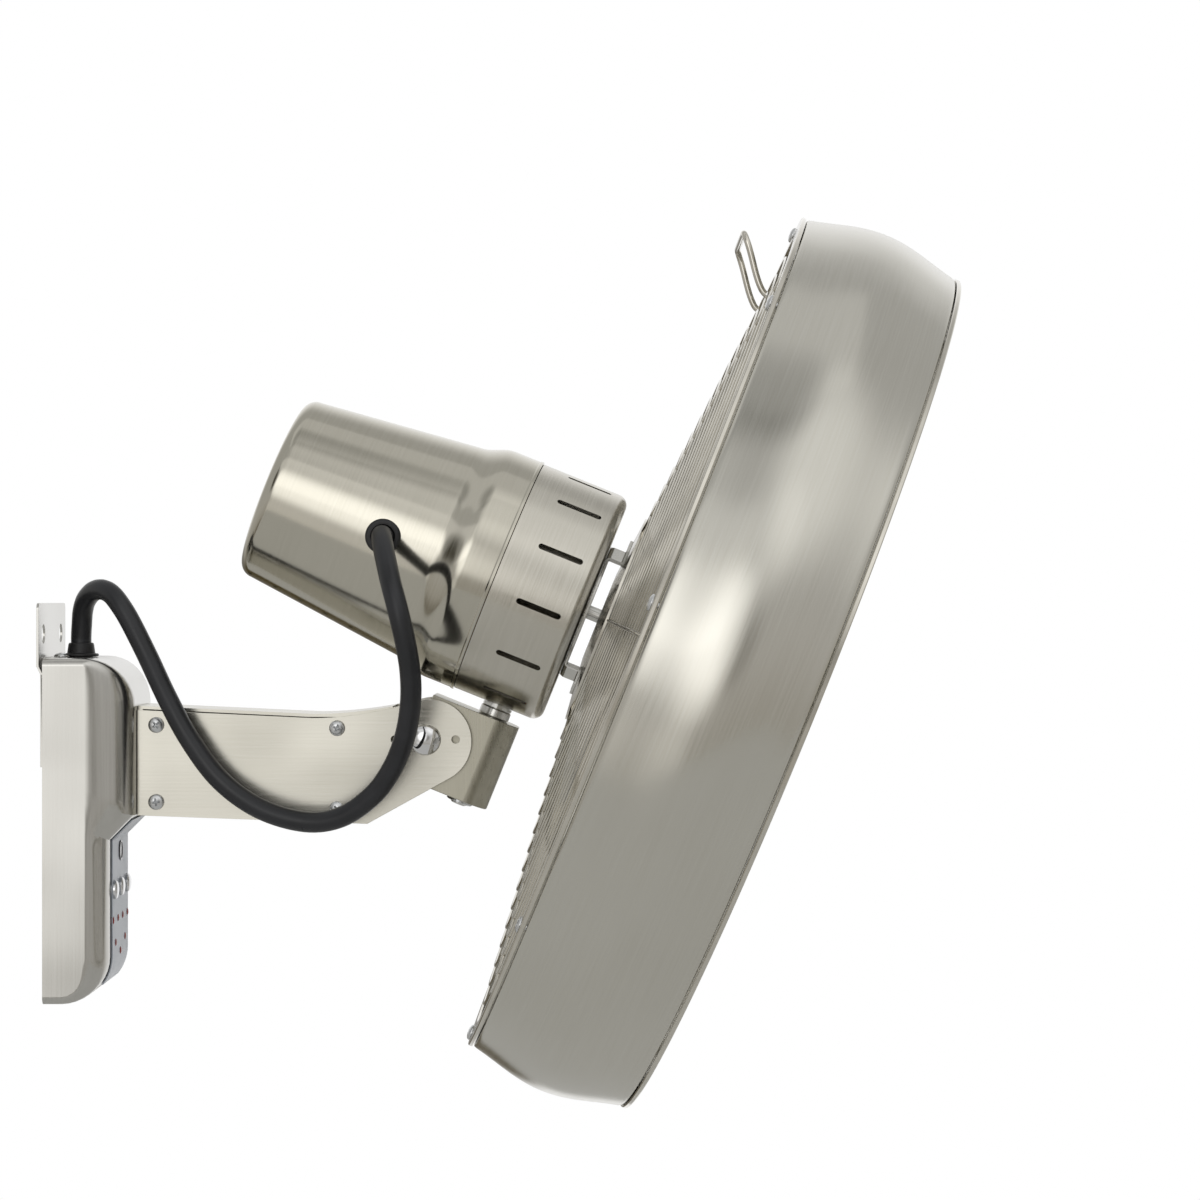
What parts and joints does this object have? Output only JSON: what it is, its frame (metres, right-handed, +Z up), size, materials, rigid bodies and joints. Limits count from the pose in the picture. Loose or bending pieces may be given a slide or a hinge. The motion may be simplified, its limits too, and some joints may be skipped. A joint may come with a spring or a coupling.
{
  "type": "wall mounted fan",
  "caption": "Wall fan in brushed steel: control box on a wall plate, short arm, tilting and swinging motor, and blades in a drum-shaped guard.",
  "frame": {"origin": "on the wall, midway between the two screw holes of the bracket", "axes": "+X out from the wall, +Z up, -Y the side with the cord"},
  "size_m": [0.579, 0.5846, 0.5648],
  "materials": {
    "brushed_steel": "brushed stainless sheet, warm grey",
    "bright_steel": "bright drawn wire and turned steel",
    "chrome": "polished chrome plate",
    "zinc": "zinc-plated screws and bearings",
    "aluminium": "cast and pressed aluminium",
    "black_rubber": "matt black rubber",
    "overlay": "pale blue-grey overlay",
    "red_lamp": "clear red light guide",
    "smoked": "dark smoked window",
    "board": "green circuit board",
    "black_plastic": "black moulded plastic",
    "copper": "enamelled copper wire",
    "core_steel": "stacked steel laminations"
  },
  "bodies": {
    "wall_unit": {"wall_bracket": "brushed_steel", "back_cover": "brushed_steel", "control_box": "brushed_steel", "inner_frame": "brushed_steel", "control_panel": "overlay", "control_board": "board", "terminal_block": "black_plastic", "receiver_window": "smoked", "led_row": "red_lamp", "led_trio": "red_lamp", "box_gland": "black_rubber", "back_cover_screw": "zinc", "arm_channel": "brushed_steel", "arm_cover": "brushed_steel", "tilt_bolt": "chrome", "tilt_nut": "zinc", "washer_near": "black_plastic", "washer_far": "black_plastic", "cord_lower": "black_rubber", "arm_screw_1": "zinc", "arm_screw_2": "zinc", "arm_screw_3": "zinc", "arm_screw_4": "zinc"},
    "tilt_bracket": {"knuckle": "brushed_steel", "swivel_pin": "bright_steel", "swivel_nut": "zinc"},
    "head": {"rear_housing": "brushed_steel", "front_housing": "brushed_steel", "swivel_bush": "bright_steel", "swing_motor": "black_plastic", "end_shield": "aluminium", "stator_core": "core_steel", "winding_rear": "copper", "winding_front": "copper", "front_bearing": "zinc", "rear_bearing": "zinc", "run_capacitor": "black_plastic", "motor_grommet": "black_rubber", "grille_spider": "brushed_steel", "drum": "brushed_steel", "rear_grille": "bright_steel", "front_grille": "bright_steel", "lift_handle": "bright_steel", "cord_upper": "black_rubber", "rim_screw_1": "zinc", "rim_screw_2": "zinc", "rim_screw_3": "zinc", "rim_screw_4": "zinc", "rim_screw_5": "zinc", "rim_screw_6": "zinc", "rim_screw_7": "zinc", "rim_screw_8": "zinc"},
    "rotor": {"motor_shaft": "bright_steel", "rotor_core": "core_steel", "blade_hub": "aluminium", "fan_blade": "aluminium", "blade_nut": "zinc"},
    "button_1": {"button_1": "chrome"},
    "button_2": {"button_2": "chrome"},
    "button_3": {"button_3": "chrome"}
  },
  "joints": [
    {"name": "tilt", "type": "hinge", "parent": "wall_unit", "child": "tilt_bracket", "pos_m": [0.2416, 0, -0.0667], "axis": [0, 1, 0], "range_deg": [-22, 23], "deforming": ["cord_lower", "cord_upper"]},
    {"name": "swivel", "type": "hinge", "parent": "tilt_bracket", "child": "head", "pos_m": [0.27312, 0, -0.07944], "axis": [0.3746, 0, 0.9272], "range_deg": [-40, 40], "deforming": ["cord_lower", "cord_upper"]},
    {"name": "blade_spin", "type": "hinge", "parent": "head", "child": "rotor", "pos_m": [0.28401, 0, 0.03826], "axis": [0.9272, 0, -0.3746], "continuous": true},
    {"name": "press_1", "type": "slide", "parent": "wall_unit", "child": "button_1", "axis": [1, 0, 0], "range_m": [-0.0012, 0], "stiffness_N_per_m": 900, "springref_m": 0.0005},
    {"name": "press_2", "type": "slide", "parent": "wall_unit", "child": "button_2", "axis": [1, 0, 0], "range_m": [-0.0012, 0], "stiffness_N_per_m": 900, "springref_m": 0.0005},
    {"name": "press_3", "type": "slide", "parent": "wall_unit", "child": "button_3", "axis": [1, 0, 0], "range_m": [-0.0012, 0], "stiffness_N_per_m": 900, "springref_m": 0.0005}
  ]
}
